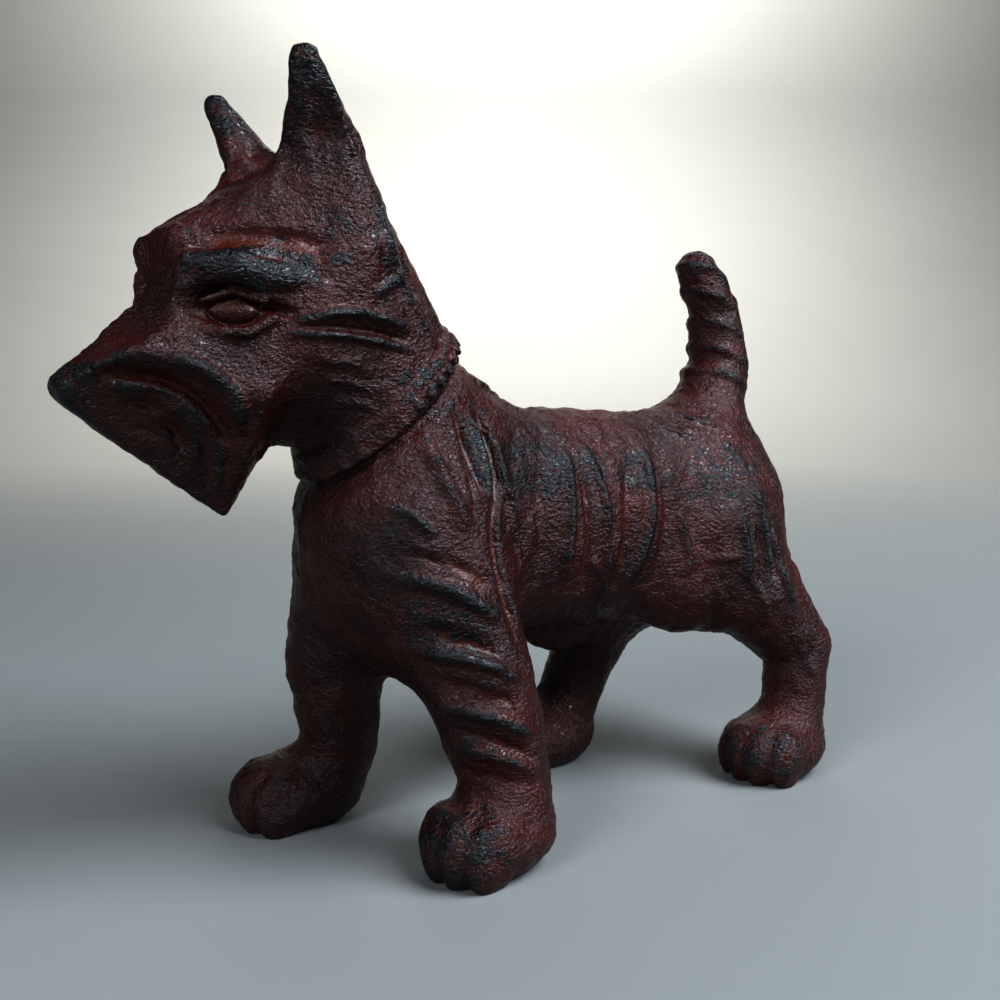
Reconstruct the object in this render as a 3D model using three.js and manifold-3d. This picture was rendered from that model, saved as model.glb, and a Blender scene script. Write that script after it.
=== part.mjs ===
// A cast iron terrier figure: one solid casting that walks on its four paws, with a studded collar cast in.
// Millimetres. The dog looks along -Y, its left side is +X and +Z is up.

import * as THREE from "three";
import { mergeVertices } from "three/addons/utils/BufferGeometryUtils.js";
import Module from "manifold-3d";

// Driving dimensions
const HEIGHT = 121; // from the soles to the tips of the ears
const COLLAR_WIDTH = 4.2; // breadth of the collar band
const COLLAR_PROUD = 0.8; // how far the band stands out of the neck
const STUD_DIAMETER = 1.9;
const STUD_PITCH = 3; // from one stud to the next, round the band
const STUD_PROUD = 0.3; // how far a stud stands out of the band
const FUR_DEPTH = 0.9; // height of the deepest carved locks over their grooves
const SOLE_SINK = 1.9; // how much of each rounded paw is cut away to make a flat sole

// The figure is drawn on a grid, in shares of its height: x across, y from nose to tail, z up.
const SOLES = -2.2; // level of the soles on the grid
const EAR_TOP = 118.8; // level of the tips of the ears
const PART = HEIGHT / (EAR_TOP - SOLES);
const inParts = (length) => length / PART;

// Fineness of the mesh
const CELL = 1.05; // size of a sampling cell, in parts
const TRIANGLES = 8800; // of the skin, before the studs are set in it

// Vectors are arrays of three numbers
const minus = (a, b) => [a[0] - b[0], a[1] - b[1], a[2] - b[2]];
const dot = (a, b) => a[0] * b[0] + a[1] * b[1] + a[2] * b[2];
const cross = (a, b) => [a[1] * b[2] - a[2] * b[1], a[2] * b[0] - a[0] * b[2], a[0] * b[1] - a[1] * b[0]];
const size = (a) => Math.sqrt(dot(a, a));
const unit = (a) => a.map((n) => n / size(a));
const clamp = (n, low, high) => Math.min(Math.max(n, low), high);
const mix = (a, b, t) => a + (b - a) * t;
const rise = (low, high, n) => {
  const t = clamp((n - low) / (high - low), 0, 1);
  return t * t * (3 - 2 * t);
};

// A form is a function that gives the distance from a point to its skin, negative inside.
const ellipsoid = ([cx, cy, cz], [rx, ry, rz]) => ([x, y, z]) => {
  const scaled = [(x - cx) / rx, (y - cy) / ry, (z - cz) / rz];
  const near = size(scaled);
  return (near * (near - 1)) / (size([scaled[0] / rx, scaled[1] / ry, scaled[2] / rz]) + 1e-9);
};

// A limb of round section that tapers from one joint to the next; flat narrows it across the body.
const limb = (from, fromRadius, to, toRadius, flat = 1) => {
  const wide = (p) => [p[0] / flat, p[1], p[2]];
  const start = wide(from);
  const along = minus(wide(to), start);
  const length2 = dot(along, along);
  return (p) => {
    const q = minus(wide(p), start);
    const t = clamp(dot(q, along) / length2, 0, 1);
    const off = [q[0] - along[0] * t, q[1] - along[1] * t, q[2] - along[2] * t];
    return (size(off) - mix(fromRadius, toRadius, t)) * Math.min(flat, 1);
  };
};

// A chain of limbs through a list of joints, each a point and a radius
const chain = (joints, flat = 1) => {
  const links = joints.slice(1).map((joint, i) => limb(joints[i][0], joints[i][1], joint[0], joint[1], flat));
  return (p) => Math.min(...links.map((link) => link(p)));
};

// A plate around a triangle, with rounded rims
const plate = (a, b, c, thickness) => {
  const edges = [[a, minus(b, a)], [b, minus(c, b)], [c, minus(a, c)]];
  const normal = unit(cross(minus(b, a), minus(c, a)));
  const inward = edges.map(([, along]) => cross(normal, along));
  return (p) => {
    const inside = edges.every(([corner], i) => dot(inward[i], minus(p, corner)) >= 0);
    if (inside) return Math.abs(dot(normal, minus(p, a))) - thickness / 2;
    const gaps = edges.map(([corner, along]) => {
      const q = minus(p, corner);
      const t = clamp(dot(q, along) / dot(along, along), 0, 1);
      return size([q[0] - along[0] * t, q[1] - along[1] * t, q[2] - along[2] * t]);
    });
    return Math.min(...gaps) - thickness / 2;
  };
};

// A block with flat sides, each given by three points on it; heart is a point inside.
const wedge = (heart, sides, rounding) => {
  const planes = sides.map(([a, b, c]) => {
    const normal = unit(cross(minus(b, a), minus(c, a)));
    return { corner: a, normal: dot(normal, minus(heart, a)) < 0 ? normal : normal.map((n) => -n) };
  });
  const deep = -100; // further inside than any side
  return (p) => planes.reduce(
    (far, { corner, normal }) => meet(far, dot(normal, minus(p, corner)), rounding),
    deep,
  );
};

// Soft joins between distances
const blend = (a, b, soft) => {
  const t = Math.max(soft - Math.abs(a - b), 0) / soft;
  return Math.min(a, b) - (t * t * soft) / 4;
};
const meet = (a, b, soft) => -blend(-a, -b, soft);
const hollow = (a, b, soft) => meet(a, -b, soft);
const mirrored = (p) => [Math.abs(p[0]), p[1], p[2]];
const joined = (start, parts, p) => parts.reduce((d, [form, soft]) => blend(d, form(p), soft), start);

// Head
const skull = ellipsoid([0, -16, 87], [14, 16, 15.5]);
const face = limb([0, -19, 81], 14.2, [0, -32, 77], 9.2);
const nose = [0, -51.3, 74.6];
const noseFoot = [0, -50.4, 71];
const beardTip = [0, -27.4, 53.8];
const cheekCorner = [11.4, -29.5, 72];
const stop = [0, -39.6, 84.6];
const throat = [0, -20, 65];
const SIDESTEP = 3;
const besides = ([x, y, z]) => [x + SIDESTEP, y, z]; // another point on a side that runs straight across
const RIM = 1.2; // rounding of the rims of the muzzle and the forehead
const muzzle = wedge([0, -34, 72], [
  [[1.6, -50.2, 70.8], [0.8, -27.4, 54.2], cheekCorner],
  [noseFoot, beardTip, besides(beardTip)],
  [nose, noseFoot, besides(nose)],
  [nose, stop, [6, -39.6, 82.4]],
  [beardTip, throat, [10, -25.5, 68]],
  [[13, -30, 70], [13, -26, 72], [10, -30, 84]],
  [[0, -20, 60], [0, -20, 90], besides([0, -20, 60])],
], RIM);
const brow = [0, -36.2, 95.2];
const crown = [0, -20, 105];
const browFoot = [0, -37.1, 86];
const forehead = wedge([0, -26, 90], [
  [brow, crown, besides(crown)],
  [browFoot, brow, besides(brow)],
  [[5.6, -36.6, 94], [13, -30, 88], [9, -20, 105]],
  [[13.4, -30, 84], [13.4, -14, 84], [12, -20, 96]],
  [[0, -14, 80], besides([0, -14, 80]), [0, -14, 110]],
  [[0, -30, 84], besides([0, -30, 84]), [0, -20, 84]],
], RIM);
const browRidge = chain([
  [[4.6, -36.6, 83], 1], [[5.2, -36.2, 87], 1.5], [[8.4, -34.6, 89.6], 2.1],
  [[11.8, -29.6, 89.4], 2.5], [[13, -23, 88], 2.2], [[13.4, -16.5, 86.6], 0.8],
]);
const browKnob = ellipsoid([6, -35.2, 92.4], [2.6, 2.4, 2.8]);
const socket = ellipsoid([11.8, -33, 84.2], [3.4, 6.6, 3]);

// Each eye is an almond: what two balls share, one over the other, turned to lie along the cheek
const eyeMiddle = [10.2, -29.6, 83.5];
const EYE_TURN = -0.4; // about an upright line, in radians
const EYE_RADII = [1.5, 4, 2.9];
const EYE_GAP = 1.1; // from the middle of the eye to the middle of either ball
const balls = [EYE_GAP, -EYE_GAP].map((gap) => ellipsoid([0, 0, gap], EYE_RADII));
const eye = (p) => {
  const [x, y, z] = minus(p, eyeMiddle);
  const [c, s] = [Math.cos(EYE_TURN), Math.sin(EYE_TURN)];
  return Math.max(...balls.map((ball) => ball([x * c + y * s, y * c - x * s, z])));
};
const lowerLid = chain([
  [[8, -35.4, 82], 0.8], [[10.4, -32.2, 80.7], 1], [[12, -28.4, 80.6], 1], [[12.8, -25, 82.6], 0.8],
]);

// Ears: their levels are shares of the way from their feet to their tips
const EAR_FOOT = 94;
const EAR_THICKNESS = 4;
const earLevel = (share) => mix(EAR_FOOT, EAR_TOP, share);
const earTip = [15.2, -21, EAR_TOP - EAR_THICKNESS / 2];
const earFront = [9.4, -19.3, earLevel(0.49)];
const earBack = [12, -13.2, earLevel(0.56)];
const earHeel = [12.2, -9.8, earLevel(0.2)];
const flareFoot = [7.6, -27, earLevel(0.06)];
const flareBack = [12.6, -12, earLevel(0.08)];
const earBlade = plate(earTip, earFront, earBack, EAR_THICKNESS);
const earLower = plate(earBack, earFront, earHeel, EAR_THICKNESS + 0.4);
const earFlare = plate(earFront, flareFoot, flareBack, EAR_THICKNESS - 0.6);
const earRoot = limb([11, -15.2, earLevel(0.44)], 3.4, [8.6, -12, EAR_FOOT], 7.8);

const ear = (p) => Math.min(earBlade(p), earLower(p), earFlare(p));
const brows = (p) => Math.min(browRidge(p), browKnob(p));

// Each form of the head, with how softly it runs into the ones before it
const HEAD_FORMS = [[face, 5], [muzzle, 2.5], [forehead, 2], [earRoot, 4], [ear, 2.5]];
const FACE_FORMS = [[brows, 1], [eye, 0.5], [lowerLid, 1]];
const SOCKET_SOFT = 1.6;

function head(p) {
  const q = mirrored(p);
  const plain = joined(skull(q), HEAD_FORMS, q);
  return joined(hollow(plain, socket(q), SOCKET_SOFT), FACE_FORMS, q);
}

// Neck, trunk and tail
const neckTop = [0, -12, 88];
const neckFoot = [0, 4.3, 62];
const neck = limb(neckTop, 15.2, neckFoot, 14.2, 0.96);
const chest = ellipsoid([0, 3.8, 44], [15, 13.2, 18.6]);
const withers = ellipsoid([0, 12, 62], [9, 13, 11]);
const trunk = chain([[[0, 6, 52], 18.6], [[0, 34, 50], 20], [[0, 67.6, 48], 20.4]], 0.7);
const rump = ellipsoid([0, 71.4, 51.4], [15.4, 18.2, 18.3]);
const flanks = [1, -1].map((side) => ellipsoid([side * 7.5, 63, 38], [8, 13, 12]));
const groin = ellipsoid([-8, 44, 32], [6, 12, 10]); // where the forward thigh meets the belly
const gullet = ellipsoid([0, -16.4, 68], [4.4, 4.6, 3.8]); // where the throat meets the beard
const tail = chain([[[0, 74.8, 66], 8], [[0, 79.2, 78], 6.2], [[0, 77.6, 89], 5.1], [[0, 72.4, 96.4], 4.2]]);

// Legs: the shoulder or thigh, the lower leg and the paw. side is 1 for the dog's left, -1 for its right.
const across = (side, joint) => [[side * joint[0][0], joint[0][1], joint[0][2]], joint[1]];
const shankOf = ({ side, joints }) => chain(joints.map((joint) => across(side, joint)));
const PAW_LENGTH = 23.6;
const PAW_WIDTH = 18;
const PAW_HEIGHT = 14.6;
const TURNOUT = 0.12; // how far the paws turn outwards, in radians
const TOES = 4;
const TOE_SPREAD = 0.31; // from the middle of the paw to an outer toe, as a share of its width
const TOE_REACH = 0.34; // from the middle of the paw to a middle toe, as a share of its length
const TOE_CURVE = 0.1; // how far the outer toes stay behind, as a share of its length
const TOE_DROP = 1; // how far the toes lie under the middle of the paw
const TOE_SOFT = 2;
const toeRadii = [0.15 * PAW_WIDTH, 0.24 * PAW_WIDTH, 0.4 * PAW_HEIGHT];

function pawOf({ side, x, y }) {
  const lift = SOLES + PAW_HEIGHT / 2 - inParts(SOLE_SINK);
  const pad = ellipsoid([0, 0, lift], [PAW_WIDTH / 2, PAW_LENGTH / 2, PAW_HEIGHT / 2]);
  const toes = Array.from({ length: TOES }, (_, i) => {
    const spread = (2 * i) / (TOES - 1) - 1;
    const reach = PAW_LENGTH * (TOE_REACH - TOE_CURVE * spread * spread);
    return ellipsoid([spread * PAW_WIDTH * TOE_SPREAD, -reach, lift - TOE_DROP], toeRadii);
  });
  const [c, s] = [Math.cos(TURNOUT), Math.sin(TURNOUT)];
  return (p) => {
    const u = side * p[0] - x;
    const v = p[1] - y;
    const q = [u * c + v * s, v * c - u * s, p[2]];
    return blend(pad(q), Math.min(...toes.map((toe) => toe(q))), TOE_SOFT);
  };
}

// x and y are the middle of the paw.
const foreLeft = {
  side: 1, x: 17.8, y: 8,
  joints: [[[6, 1.6, 51], 13], [[14.2, 7.6, 28], 9.4], [[17, 11.6, 11], 7.4]],
};
const foreRight = {
  side: -1, x: 17.8, y: -7.6,
  joints: [[[6, 1.4, 50], 13], [[12.6, -3, 28], 8.8], [[14.8, -1.2, 11], 6.8]],
};
const hindLeft = {
  side: 1, x: 18, y: 78,
  joints: [[[5, 72, 45], 15], [[12, 76, 34], 10], [[17.6, 84.4, 22], 6.9], [[18.2, 82.8, 10], 5.8]],
};
const hindRight = {
  side: -1, x: 15.2, y: 45,
  joints: [[[6, 62, 44], 14], [[10.6, 59, 32], 9.6], [[13.6, 57, 22], 7.4], [[14.8, 52, 10], 6.4]],
};
const ANKLE_SOFT = 4;
const SHOULDER_SOFT = 7;
const HIP_SOFT = 6;

function legOf(plan) {
  const shank = shankOf(plan);
  const foot = pawOf(plan);
  return (p) => blend(shank(p), foot(p), ANKLE_SOFT);
}

// Each form of the body, with how softly it runs into the ones before it
const BODY_FORMS = [
  [chest, 6], [withers, 6], [rump, 6], ...flanks.map((flank) => [flank, 5]), [groin, 5], [neck, 7],
  [gullet, 3], [tail, 5],
  ...[foreLeft, foreRight].map((plan) => [legOf(plan), SHOULDER_SOFT]),
  ...[hindLeft, hindRight].map((plan) => [legOf(plan), HIP_SOFT]),
];
const body = (p) => joined(trunk(p), BODY_FORMS, p);

// Collar: a band round the neck, square to the line from its throat to its nape
const collarThroat = [0, -13.4, 62];
const collarNape = [0, 9.8, 82.5];
const collarMiddle = collarThroat.map((n, i) => (n + collarNape[i]) / 2);
const collarForward = unit(minus(collarThroat, collarNape));
const collarAxis = cross([1, 0, 0], collarForward);
const COLLAR_REACH = 21; // nothing further than this from its middle belongs to the collar
const REACH_FADE = 1.5;
const COLLAR_RIM = 0.6; // half the slope at each rim of the band
const SEAM_DROP = 1; // from the lower rim down to the groove under it
const SEAM_BREADTH = 1.9; // half the breadth of that groove
const SEAM_DEPTH = 1.1; // of the groove, as a share of how far the band stands out

function collar(p) {
  const q = minus(p, collarMiddle);
  const height = dot(q, collarAxis);
  const out = Math.hypot(q[0], dot(q, collarForward));
  const half = inParts(COLLAR_WIDTH) / 2;
  const reach = rise(COLLAR_REACH + REACH_FADE, COLLAR_REACH - REACH_FADE, out);
  const band = rise(half + COLLAR_RIM, half - COLLAR_RIM, Math.abs(height));
  const groove = rise(SEAM_BREADTH, 0, Math.abs(height - half - SEAM_DROP));
  return reach * inParts(COLLAR_PROUD) * (SEAM_DEPTH * groove - band);
}

// Carving: strokes drawn in the side view, each a curve from one point past a bend to another.
// A stroke raises the skin along its line, or sinks it where its height is negative.
const FACETS = 6; // straight pieces in a stroke's curve
function stroke(from, bend, to, width, height) {
  const at = (t) => [0, 1].map((i) => (1 - t) ** 2 * from[i] + 2 * t * (1 - t) * bend[i] + t * t * to[i]);
  const points = Array.from({ length: FACETS + 1 }, (_, i) => at(i / FACETS));
  const low = [0, 1].map((i) => Math.min(...points.map((point) => point[i])) - width);
  const high = [0, 1].map((i) => Math.max(...points.map((point) => point[i])) + width);
  return (y, z) => {
    if (y < low[0] || y > high[0] || z < low[1] || z > high[1]) return 0;
    let near = width;
    let place = 0;
    for (let i = 0; i < FACETS; i += 1) {
      const [ay, az] = points[i];
      const [by, bz] = [points[i + 1][0] - ay, points[i + 1][1] - az];
      const t = clamp(((y - ay) * by + (z - az) * bz) / (by * by + bz * bz), 0, 1);
      const gap = Math.sqrt((y - ay - by * t) ** 2 + (z - az - bz * t) ** 2);
      if (gap < near) [near, place] = [gap, (i + t) / FACETS];
    }
    const profile = (1 - (near / width) ** 2) ** 2;
    return height * profile * (1 - (2 * place - 1) ** 4);
  };
}

// A row of strokes between a first and a last one
const between = (first, last, count, width, height) => Array.from({ length: count }, (_, i) => {
  const t = count > 1 ? i / (count - 1) : 0;
  const points = first.map((point, k) => [mix(point[0], last[k][0], t), mix(point[1], last[k][1], t)]);
  return stroke(...points, width, height);
});

// The locks of the moustache are long arcs that sweep back from the nose and turn down into the beard.
const locks = [
  stroke([-48.6, 74.4], [-43, 80.4], [-34.4, 75.4], 1.8, 0.7),
  stroke([-39, 77], [-31, 76], [-28, 66.4], 2, 1.5),
  stroke([-47.6, 75.2], [-36.4, 76.4], [-30, 66], 1.5, -1.1),
  stroke([-46.4, 73.2], [-35, 75.6], [-29.6, 62.4], 1.7, 1.2),
  stroke([-42.4, 71.8], [-34.4, 73.6], [-31.4, 62], 1.3, -0.9),
  stroke([-39.6, 71.6], [-34, 70.6], [-32.8, 63], 1.6, 1.2),
  stroke([-38.4, 69.4], [-35.6, 68], [-34.6, 62], 1.3, -0.8),
];
const faceCarving = [
  ...locks,
  stroke([-22.6, 81.8], [-15, 85.8], [-3, 81.4], 1.2, 1.3),
  stroke([-24, 80.6], [-15, 81.2], [-3, 78.6], 1, 1.1),
  ...between([[-19.4, 77], [-15, 77.4], [-10, 75.4]], [[-15, 71.6], [-12, 71.4], [-8, 69.6]], 3, 1.1, 0.4),
  stroke([-26, 84.6], [-24, 83.8], [-22, 83], 1.2, -1.1),
  stroke([-34.4, 92.4], [-26, 94.6], [-16.4, 92], 2, -0.8),
  stroke([-11, 86.4], [-8, 87.4], [-4, 90.4], 1.3, 0.7),
  stroke([-9.6, 99], [-7, 90], [1.6, 79.4], 1.5, 0.8),
  stroke([-6.4, 96], [-3, 88], [4, 79.4], 1.4, -0.6),
  stroke([-19.6, 117], [-15, 111], [-10.4, 99], 1, 0.45),
  stroke([-18.8, 113], [-16.6, 106], [-15.6, 98], 2.4, -0.6),
  ...between([[-20, 108], [-19, 104], [-19.6, 99.6]], [[-15.2, 107], [-13.4, 103], [-13, 98]], 3, 1.3, 0.22),
];
const trunkCarving = [
  stroke([8.4, 70.4], [13.4, 63], [8.8, 53], 1.9, -1.2),
  stroke([9, 56.6], [6.2, 46], [11.4, 32], 1.8, -1.2),
  stroke([11.4, 66], [15.6, 58], [13.4, 48], 1.9, 0.6),
  stroke([4, 70.2], [5.8, 64], [6.6, 57], 1.2, -0.8),
  stroke([7, 70], [10.8, 64], [7.6, 56], 1.9, 0.8),
  stroke([-2, 66.6], [-0.2, 60], [2.4, 52], 1.8, 1),
  stroke([4.8, 66], [5, 58], [4, 52], 1.3, -0.5),
  stroke([12.6, 60.4], [15.6, 53], [16.8, 43], 1.1, 0.7),
  stroke([29, 63.4], [28, 54], [27.4, 39], 1.4, 0.9),
  stroke([33.2, 63], [36.6, 55], [35.8, 45], 1.4, 0.9),
  stroke([36, 47], [37.6, 39], [38.4, 32.6], 1.3, 0.8),
  stroke([46.8, 62.6], [48.4, 52], [43, 37.6], 1.7, 1.1),
  stroke([53.6, 51], [55.4, 46], [55.6, 39], 1.2, 0.8),
  stroke([31.2, 60], [32.2, 50], [31.8, 37], 1.6, -0.8),
  stroke([41.4, 60], [41.4, 50], [40, 36], 2.2, -0.8),
  stroke([22.4, 60], [21.6, 50], [22, 40], 2.8, -0.6),
  stroke([50.6, 58], [51, 48], [48.4, 38], 1.8, -0.6),
  ...between([[18.6, 52], [20, 50], [20.6, 47]], [[33, 44], [34, 42.6], [34.4, 40.6]], 3, 1.5, 0.5),
  ...between([[30, 70], [34, 69], [35, 64.6]], [[39, 70.6], [42.6, 68], [42.8, 63]], 3, 1.2, 0.25),
];
const foreCarving = [
  stroke([-12.4, 46.2], [-2, 45.6], [7, 38.2], 1.9, 1.3),
  stroke([-8, 49], [0, 48.6], [6.4, 42.6], 2, -0.7),
  stroke([-7, 38], [0, 37], [6, 32.6], 2.2, -0.9),
  stroke([-9, 33], [1, 35.4], [10, 28.6], 1.8, 1.2),
  stroke([-4, 29.6], [2, 28.8], [9, 24.4], 2, -0.8),
  stroke([-3, 25], [4, 25.2], [12, 19.4], 1.7, 1.1),
  stroke([0, 21.4], [6, 20.6], [12.4, 15.4], 1.5, -0.7),
  stroke([0.6, 18.2], [6, 18.2], [13, 13.4], 1.5, 0.7),
  stroke([1.6, 14.4], [6, 14.6], [12, 11.6], 1.4, -0.4),
  stroke([-10.6, 58], [-7, 56], [-2.4, 51.4], 1.2, 1),
  ...between([[-11, 52], [-6, 51], [-1, 47.6]], [[4, 50], [6, 47], [7.4, 43]], 2, 1.3, 0.4),
];
const hindCarving = [
  stroke([65.4, 49.4], [68, 44], [67, 37], 1.3, 0.9),
  stroke([69, 55.6], [74, 46], [70, 33], 1.4, 1),
  stroke([73.6, 47.4], [75.6, 38], [76, 28], 1.4, 0.9),
  stroke([69.6, 48], [71.4, 41], [70, 33], 1.2, -0.7),
  stroke([60, 46], [61.6, 39], [58.6, 33], 1.9, -0.8),
  stroke([57.6, 42.6], [62, 41], [66, 42.2], 1.3, 0.6),
  ...between([[62, 37], [64.6, 33], [66, 28.6]], [[80, 41], [82.4, 34], [84, 27]], 4, 1.3, 0.6),
  ...between([[72, 64], [77, 58], [79, 50]], [[80, 59], [83, 53], [84.4, 46]], 3, 1.4, 0.45),
];
const tailCarving = [
  ...between([[69, 77.6], [76, 76.6], [84, 72.4]], [[66, 98], [72, 97.4], [79, 94]], 5, 1.5, 0.6),
];

// The legs' carving follows each leg: it is drawn on the left legs and shifted to the right ones.
const FORE_SHIFT = -13.5;
const HIND_SHIFT = -26;
const RIGHT_PLAINER = 0.6; // how much shallower the right legs' carving is
const MIDDLE_FADE = [0.8, 3]; // the face's and trunk's carving fades out this near the middle
const INNER_FADE = [12, 19]; // and the legs' carving on their inner sides
const LEG_LEVELS = [46, 26]; // from the trunk down to where the legs are free
const sum = (strokes, y, z) => strokes.reduce((total, one) => total + one(y, z), 0);

function carving([x, y, z]) {
  const side = rise(...MIDDLE_FADE, Math.abs(x));
  const outer = rise(...INNER_FADE, Math.abs(x));
  const right = x < 0 ? rise(...LEG_LEVELS, z) : 0;
  const trunkCut = side * (sum(faceCarving, y, z) + sum(trunkCarving, y, z));
  const foreCut = sum(foreCarving, y - FORE_SHIFT * right, z);
  const hindCut = sum(hindCarving, y - HIND_SHIFT * right, z);
  const legsCut = outer * (foreCut + hindCut) * (1 - RIGHT_PLAINER * right);
  return inParts(FUR_DEPTH) * (trunkCut + legsCut + sum(tailCarving, y, z));
}

// Studs: short cones that stand on the skin of the collar, found along rays from the collar's middle
const NECK_SOFT = 3;
const bare = (p) => blend(body(p), head(p), NECK_SOFT) + collar(p);

const HALVINGS = 30; // of the stretch in which the skin is looked for
function skinAlong(start, direction) {
  let [low, high] = [0, COLLAR_REACH + REACH_FADE];
  const at = (t) => start.map((n, i) => n + direction[i] * t);
  for (let i = 0; i < HALVINGS; i += 1) {
    const middle = (low + high) / 2;
    if (bare(at(middle)) < 0) low = middle;
    else high = middle;
  }
  return at(low);
}

const NECK_RADIUS = 16; // inside the band, about
const STUD_DROP = 0.5; // from the middle of the band down to the middles of the studs
const STUD_SIDES = 8;
const STUD_TOP = 0.7; // breadth of a stud's flat top, as a share of its foot
const STUDDED = 0.56; // share of the band, about the nape, on which the studs aren't worn away
const studTurn = inParts(STUD_PITCH) / NECK_RADIUS;
const studCount = Math.round((STUDDED * 2 * Math.PI) / studTurn);
const studs = Array.from({ length: studCount }, (_, i) => {
  const angle = Math.PI + (i - (studCount - 1) / 2) * studTurn;
  const outward = [Math.sin(angle), collarForward[1] * Math.cos(angle), collarForward[2] * Math.cos(angle)];
  const skin = skinAlong(collarMiddle, outward);
  return { outward, place: skin.map((n, axis) => n + collarAxis[axis] * STUD_DROP) };
});

const dog = (p) => bare(p) - carving(p);

// Skin of a form: each cell of a grid is split into six tetrahedra, which are cut where the distance is zero.
const axisOrders = [0, 1, 2].flatMap((axis) => [1, 2].map((hop) => [axis, (axis + hop) % 3]));
const SHORTEST_CUT = 0.04; // nearest that a cut comes to a grid point, as a share of its edge
const BLOCK = 4; // cells in the side of a block; far from the skin one sample serves a whole block
const BLOCK_MARGIN = 1.6; // how far that is, in blocks

function skinOf(form, low, high, cell) {
  const counts = low.map((n, i) => Math.ceil((high[i] - n) / cell) + 1);
  const steps = [1, counts[0], counts[0] * counts[1]];
  const total = steps[2] * counts[2];
  const placeOf = (n) => {
    const [i, j, k] = [n % steps[1], Math.floor(n / steps[1]) % counts[1], Math.floor(n / steps[2])];
    return [low[0] + i * cell, low[1] + j * cell, low[2] + k * cell];
  };
  const blocks = new Map();
  const blockDepth = (n) => {
    const corner = [n % steps[1], Math.floor(n / steps[1]) % counts[1], Math.floor(n / steps[2])];
    const [i, j, k] = corner.map((m) => Math.floor(m / BLOCK));
    const key = i + 1000 * (j + 1000 * k);
    if (!blocks.has(key)) {
      blocks.set(key, form([i, j, k].map((m, axis) => low[axis] + (m + 0.5) * BLOCK * cell)));
    }
    return blocks.get(key);
  };
  const far = BLOCK * cell * BLOCK_MARGIN;
  const depth = Float64Array.from({ length: total }, (_, n) => {
    const rough = blockDepth(n);
    return Math.abs(rough) > far ? rough : form(placeOf(n));
  });
  const points = [];
  const faces = [];
  const known = new Map();

  const cutBetween = (a, b) => {
    const [m, n] = a < b ? [a, b] : [b, a];
    const key = m * total + n;
    if (!known.has(key)) {
      const t = clamp(depth[m] / (depth[m] - depth[n]), SHORTEST_CUT, 1 - SHORTEST_CUT);
      const [from, to] = [placeOf(m), placeOf(n)];
      known.set(key, points.push(from.map((x, i) => mix(x, to[i], t))) - 1);
    }
    return known.get(key);
  };
  const addFace = (corners, outward) => {
    const [a, b, c] = corners.map((n) => points[n]);
    const facing = dot(cross(minus(b, a), minus(c, a)), outward) > 0;
    faces.push(facing ? corners : [corners[0], corners[2], corners[1]]);
  };
  const cutTetrahedron = (corners) => {
    const inside = corners.filter((n) => depth[n] < 0);
    const outside = corners.filter((n) => depth[n] >= 0);
    if (!inside.length || !outside.length) return;
    const outward = minus(placeOf(outside[0]), placeOf(inside[0]));
    if (inside.length === 2) {
      const [a, b] = inside;
      const [c, d] = outside;
      const ring = [cutBetween(a, c), cutBetween(a, d), cutBetween(b, d), cutBetween(b, c)];
      addFace([ring[0], ring[1], ring[2]], outward);
      addFace([ring[0], ring[2], ring[3]], outward);
    } else {
      const [lone, rest] = inside.length === 1 ? [inside[0], outside] : [outside[0], inside];
      addFace(rest.map((n) => cutBetween(lone, n)), outward);
    }
  };

  for (let k = 0; k < counts[2] - 1; k += 1) {
    for (let j = 0; j < counts[1] - 1; j += 1) {
      for (let i = 0; i < counts[0] - 1; i += 1) {
        const base = i + j * steps[1] + k * steps[2];
        const opposite = base + steps[0] + steps[1] + steps[2];
        axisOrders.forEach(([a, b]) => {
          cutTetrahedron([base, base + steps[a], base + steps[a] + steps[b], opposite]);
        });
      }
    }
  }
  return { points, faces };
}

// Fewer triangles: again and again, the edge whose loss moves the skin least is closed up.
// A point's error is the sum of its squared distances to the planes it once lay on, kept as ten numbers.
const STIFFNESS = 1e-3; // how strongly a merged point is drawn to the middle of its edge
const MOST_TURN = 0.25; // smallest cosine between a triangle's direction before and after

const planeError = ([a, b, c]) => {
  const normal = cross(minus(b, a), minus(c, a));
  const area = size(normal) + 1e-12;
  const [x, y, z] = normal.map((n) => n / area);
  const w = -dot([x, y, z], a);
  return [x * x, x * y, x * z, x * w, y * y, y * z, y * w, z * z, z * w, w * w].map((n) => n * area);
};
const errorAt = (e, [x, y, z]) => e[0] * x * x + 2 * e[1] * x * y + 2 * e[2] * x * z + 2 * e[3] * x
  + e[4] * y * y + 2 * e[5] * y * z + 2 * e[6] * y + e[7] * z * z + 2 * e[8] * z + e[9];

function bestPoint(e, a, b) {
  const middle = a.map((n, i) => (n + b[i]) / 2);
  const pull = STIFFNESS * (e[0] + e[4] + e[7]) + 1e-9;
  const rows = [[e[0] + pull, e[1], e[2]], [e[1], e[4] + pull, e[5]], [e[2], e[5], e[7] + pull]];
  const right = [pull * middle[0] - e[3], pull * middle[1] - e[6], pull * middle[2] - e[8]];
  const sides = [cross(rows[1], rows[2]), cross(rows[2], rows[0]), cross(rows[0], rows[1])];
  const scale = dot(rows[0], sides[0]);
  return [0, 1, 2].map((i) => dot(right, sides.map((side) => side[i])) / scale);
}

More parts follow.
